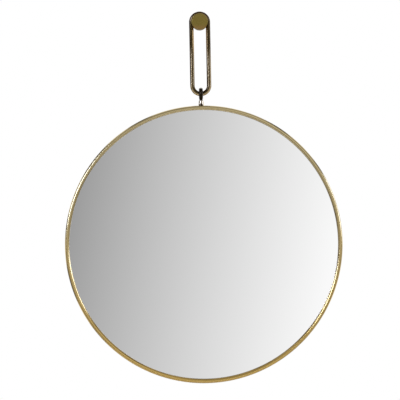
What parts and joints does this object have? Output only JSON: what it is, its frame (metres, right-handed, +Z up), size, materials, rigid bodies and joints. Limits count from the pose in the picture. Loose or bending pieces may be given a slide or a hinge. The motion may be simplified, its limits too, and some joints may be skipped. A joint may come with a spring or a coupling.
{
  "type": "wall mirror",
  "caption": "Round wall mirror in a slim rounded brass hoop, hung by an eye and one long oval link from a turned wall peg with a disc cap.",
  "frame": {"origin": "on the peg's axis, in the plane of the wall", "axes": "+Z up, +Y into the wall, so the mirror faces -Y"},
  "size_m": [0.7499, 0.091, 1.005],
  "materials": {
    "plug_nylon": "ribbed nylon",
    "zinc_steel": "zinc plated",
    "peg_brass": "polished, antique tone",
    "cap_brass": "satin, antique tone",
    "link_brass": "polished, antique tone",
    "eye_brass": "polished, antique tone",
    "collar_brass": "polished, pale",
    "frame_brass": "polished, slightly satin",
    "band_brass": "satin",
    "tab_steel": "bare rolled steel",
    "seal_rubber": "matt black",
    "bumper_rubber": "matt",
    "silvered_glass": "silvered float glass",
    "foam": "closed-cell foam sheet",
    "fibreboard": "bare fibreboard"
  },
  "bodies": {
    "wall_peg": {"wall_plug": "plug_nylon", "wall_screw": "zinc_steel", "peg_barrel": "peg_brass"},
    "cap_screw": {"cap_spigot": "peg_brass"},
    "cap": {"peg_cap": "cap_brass"},
    "link": {"chain_link": "link_brass"},
    "mirror": {"eye_bolt": "eye_brass", "eye_collar": "collar_brass", "hanger_block": "tab_steel", "eye_washer": "zinc_steel", "spring_washer": "zinc_steel", "eye_nut": "zinc_steel", "front_hoop": "frame_brass", "rim_band": "band_brass", "glazing_gasket": "seal_rubber", "mirror_glass": "silvered_glass", "cushion_sheet": "foam", "backing_board": "fibreboard", "retaining_tabs": "tab_steel", "tab_screws": "zinc_steel", "wall_bumpers": "bumper_rubber", "setting_blocks": "seal_rubber"}
  },
  "joints": [
    {"name": "cap_withdraw", "type": "slide", "parent": "wall_peg", "child": "cap_screw", "axis": [0, -1, 0], "range_m": [0, 0.009]},
    {"name": "cap_turn", "type": "hinge", "parent": "cap_screw", "child": "cap", "pos_m": [0, -0.03, 0], "axis": [0, -1, 0], "range_deg": [0, 2160]},
    {"name": "link_swing", "type": "hinge", "parent": "wall_peg", "child": "link", "pos_m": [0, -0.018, 0], "axis": [0, 1, 0], "range_deg": [-90, 90]},
    {"name": "mirror_tilt", "type": "hinge", "parent": "link", "child": "mirror", "pos_m": [0, -0.018, -0.1947], "axis": [-1, 0, 0], "range_deg": [0, 90]}
  ],
  "couplings": [
    {"joint": "cap_turn", "follows": "cap_withdraw", "rad_per_m": 4188.8}
  ]
}
